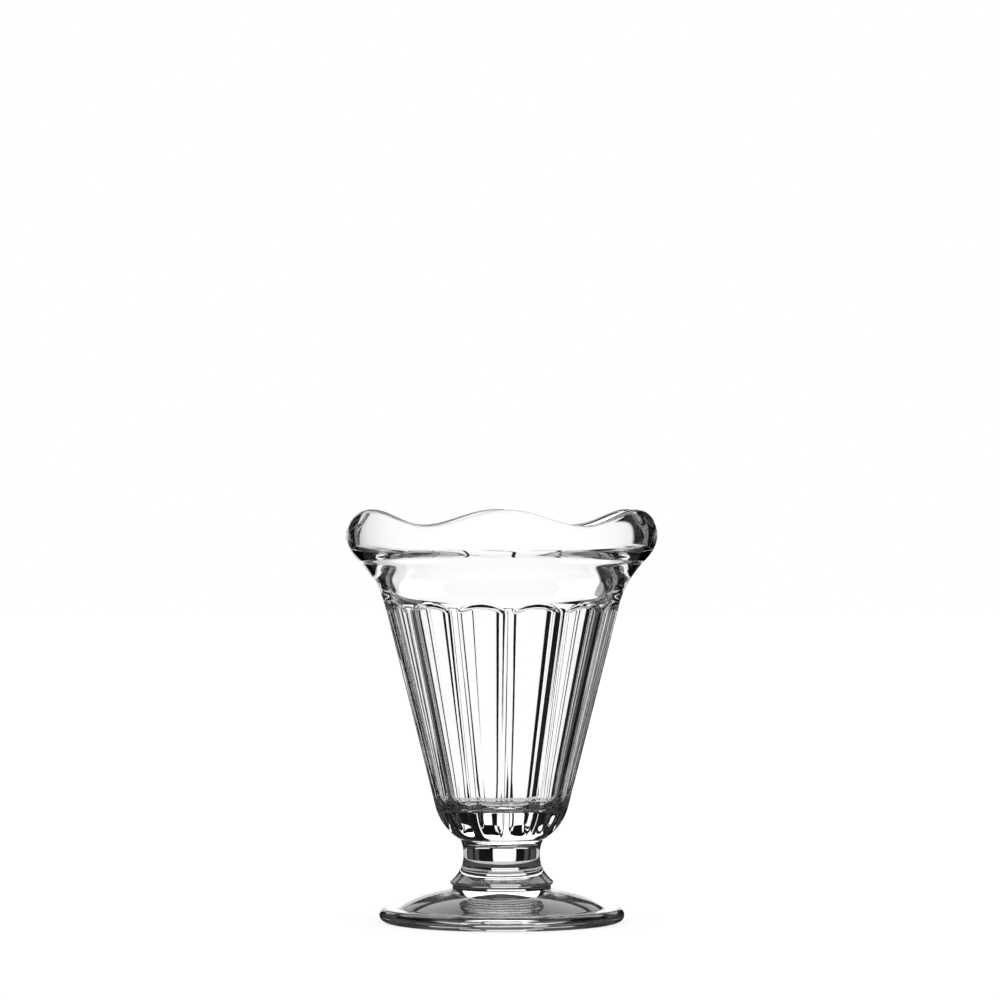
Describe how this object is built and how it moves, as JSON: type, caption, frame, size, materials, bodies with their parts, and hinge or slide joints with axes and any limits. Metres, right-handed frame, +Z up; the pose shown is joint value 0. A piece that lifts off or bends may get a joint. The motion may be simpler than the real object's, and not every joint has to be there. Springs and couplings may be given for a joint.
{
  "type": "dessert glass",
  "caption": "Footed dessert glass of clear pressed glass: scalloped flared lip, fluted tapering bowl, waisted stem and domed foot; holds a sundae or another cold dessert.",
  "frame": {"origin": "on the table plane, at the centre of the foot", "axes": "+Z up along the axis of the glass; -Y is the side that the picture shows, with +X to its right"},
  "size_m": [0.096, 0.096, 0.1269],
  "materials": {
    "clear_glass": "clear, fire-polished, gloss"
  },
  "bodies": {
    "root": {"bowl": "clear_glass", "stem": "clear_glass", "foot": "clear_glass"}
  },
  "joints": []
}
